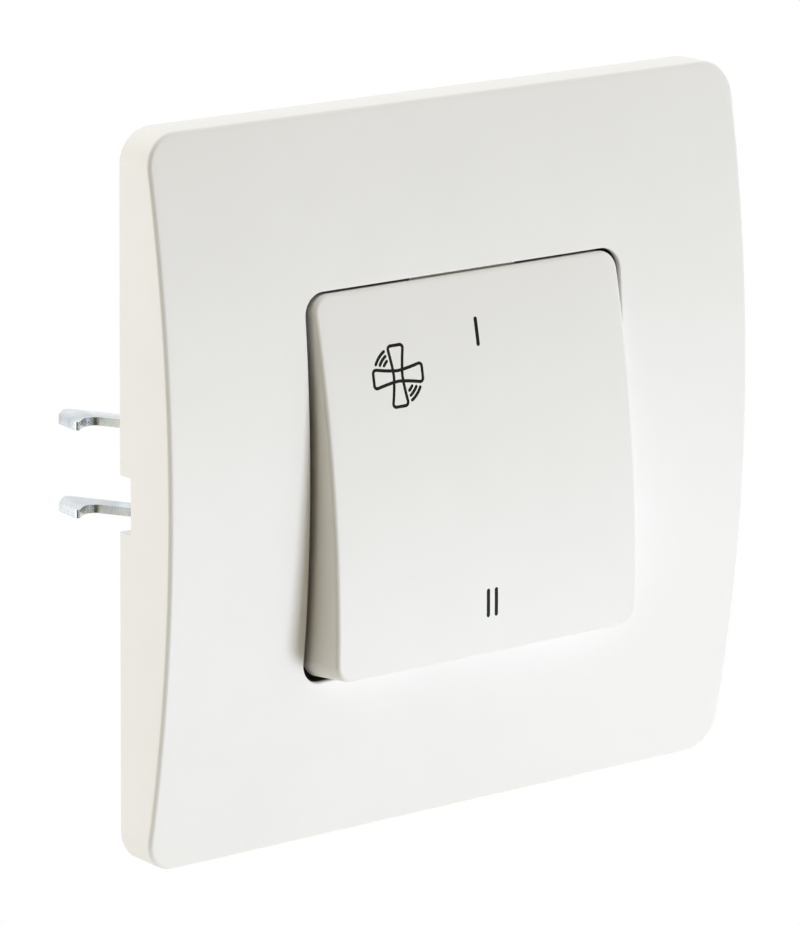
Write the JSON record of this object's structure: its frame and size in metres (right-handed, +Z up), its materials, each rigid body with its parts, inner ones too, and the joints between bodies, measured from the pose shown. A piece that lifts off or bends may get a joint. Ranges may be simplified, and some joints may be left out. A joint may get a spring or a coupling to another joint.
{
  "type": "ventilation control switch",
  "caption": "Two-position ventilation rocker switch on a square arched wall plate, with its snap mechanism, steel support frame, push-in terminals and hooked fixing claws.",
  "frame": {"origin": "the middle of the cover plate on the wall plane, where the plate's rear rim rests on the wall", "axes": "+X to the right seen from the room, +Y into the wall, +Z up"},
  "size_m": [0.0844, 0.0355, 0.0844],
  "materials": {
    "white_plastic": "satin moulding",
    "inner_plastic": "matt moulding",
    "carrier_plastic": "matt moulding",
    "key_plastic": "matt moulding",
    "zinc_steel": "zinc plated",
    "spring_steel": "bright spring steel",
    "brass": "plain brass",
    "silver_alloy": "silver alloy rivet"
  },
  "bodies": {
    "mechanism": {"cover_plate": "white_plastic", "support_frame": "zinc_steel", "mechanism_cover": "inner_plastic", "mechanism_housing": "inner_plastic", "housing_screws": "zinc_steel", "common_terminal": "brass", "position_one_terminal": "brass", "position_two_terminal": "brass", "fixed_contact_one": "silver_alloy", "fixed_contact_two": "silver_alloy", "common_clamp_spring": "spring_steel", "position_one_clamp_spring": "spring_steel", "position_two_clamp_spring": "spring_steel", "left_claw_pin": "zinc_steel", "right_claw_pin": "zinc_steel"},
    "rocker": {"rocker": "white_plastic", "rocker_carrier": "carrier_plastic", "plunger_spring": "spring_steel"},
    "plunger": {"plunger": "carrier_plastic"},
    "contact_lever": {"contact_lever": "brass", "moving_contacts": "silver_alloy"},
    "left_claw_screw": {"left_claw_screw": "zinc_steel"},
    "left_claw_nut": {"left_claw_nut": "zinc_steel"},
    "left_claw": {"left_claw": "zinc_steel"},
    "right_claw_screw": {"right_claw_screw": "zinc_steel"},
    "right_claw_nut": {"right_claw_nut": "zinc_steel"},
    "right_claw": {"right_claw": "zinc_steel"},
    "common_release_key": {"common_release_key": "key_plastic"},
    "position_one_release_key": {"position_one_release_key": "key_plastic"},
    "position_two_release_key": {"position_two_release_key": "key_plastic"}
  },
  "joints": [
    {"name": "rocker_tilt", "type": "hinge", "parent": "mechanism", "child": "rocker", "pos_m": [0, -0.00656, 0], "axis": [1, 0, 0], "range_deg": [0, 13.2]},
    {"name": "plunger_slide", "type": "slide", "parent": "rocker", "child": "plunger", "axis": [0, -0.9934, 0.1149], "range_m": [0, 0.0015], "stiffness_N_per_m": 300, "springref_m": -0.004, "deforming": ["plunger_spring"]},
    {"name": "contact_lever_tilt", "type": "hinge", "parent": "mechanism", "child": "contact_lever", "pos_m": [0, 0.0123, 0], "axis": [1, 0, 0], "range_deg": [-13.2, 0]},
    {"name": "left_claw_screw_turn", "type": "hinge", "parent": "mechanism", "child": "left_claw_screw", "pos_m": [-0.0268, 0, 0], "axis": [0, -1, 0], "range_deg": [0, 960]},
    {"name": "left_claw_nut_travel", "type": "slide", "parent": "mechanism", "child": "left_claw_nut", "axis": [0, 1, 0], "range_m": [0, 0.0016]},
    {"name": "left_claw_swing", "type": "hinge", "parent": "mechanism", "child": "left_claw", "pos_m": [-0.0225, 0.0018, 0], "axis": [0, 0, 1], "range_deg": [-30, 0]},
    {"name": "right_claw_screw_turn", "type": "hinge", "parent": "mechanism", "child": "right_claw_screw", "pos_m": [0.0268, 0, 0], "axis": [0, -1, 0], "range_deg": [0, 960]},
    {"name": "right_claw_nut_travel", "type": "slide", "parent": "mechanism", "child": "right_claw_nut", "axis": [0, 1, 0], "range_m": [0, 0.0016]},
    {"name": "right_claw_swing", "type": "hinge", "parent": "mechanism", "child": "right_claw", "pos_m": [0.0225, 0.0018, 0], "axis": [0, 0, 1], "range_deg": [0, 30]},
    {"name": "common_release_push", "type": "slide", "parent": "mechanism", "child": "common_release_key", "axis": [0, -1, 0], "range_m": [0, 0.0014], "stiffness_N_per_m": 400, "springref_m": -0.001, "deforming": ["common_clamp_spring"]},
    {"name": "position_one_release_push", "type": "slide", "parent": "mechanism", "child": "position_one_release_key", "axis": [0, -1, 0], "range_m": [0, 0.0014], "stiffness_N_per_m": 400, "springref_m": -0.001, "deforming": ["position_one_clamp_spring"]},
    {"name": "position_two_release_push", "type": "slide", "parent": "mechanism", "child": "position_two_release_key", "axis": [0, -1, 0], "range_m": [0, 0.0014], "stiffness_N_per_m": 400, "springref_m": -0.001, "deforming": ["position_two_clamp_spring"]}
  ],
  "couplings": [
    {"joint": "contact_lever_tilt", "follows": "rocker_tilt", "ratio": -1},
    {"joint": "left_claw_nut_travel", "follows": "left_claw_swing", "m_per_rad": -0.0030558},
    {"joint": "left_claw_screw_turn", "follows": "left_claw_swing", "ratio": -32},
    {"joint": "right_claw_nut_travel", "follows": "right_claw_swing", "m_per_rad": 0.0030558},
    {"joint": "right_claw_screw_turn", "follows": "right_claw_swing", "ratio": 32}
  ]
}
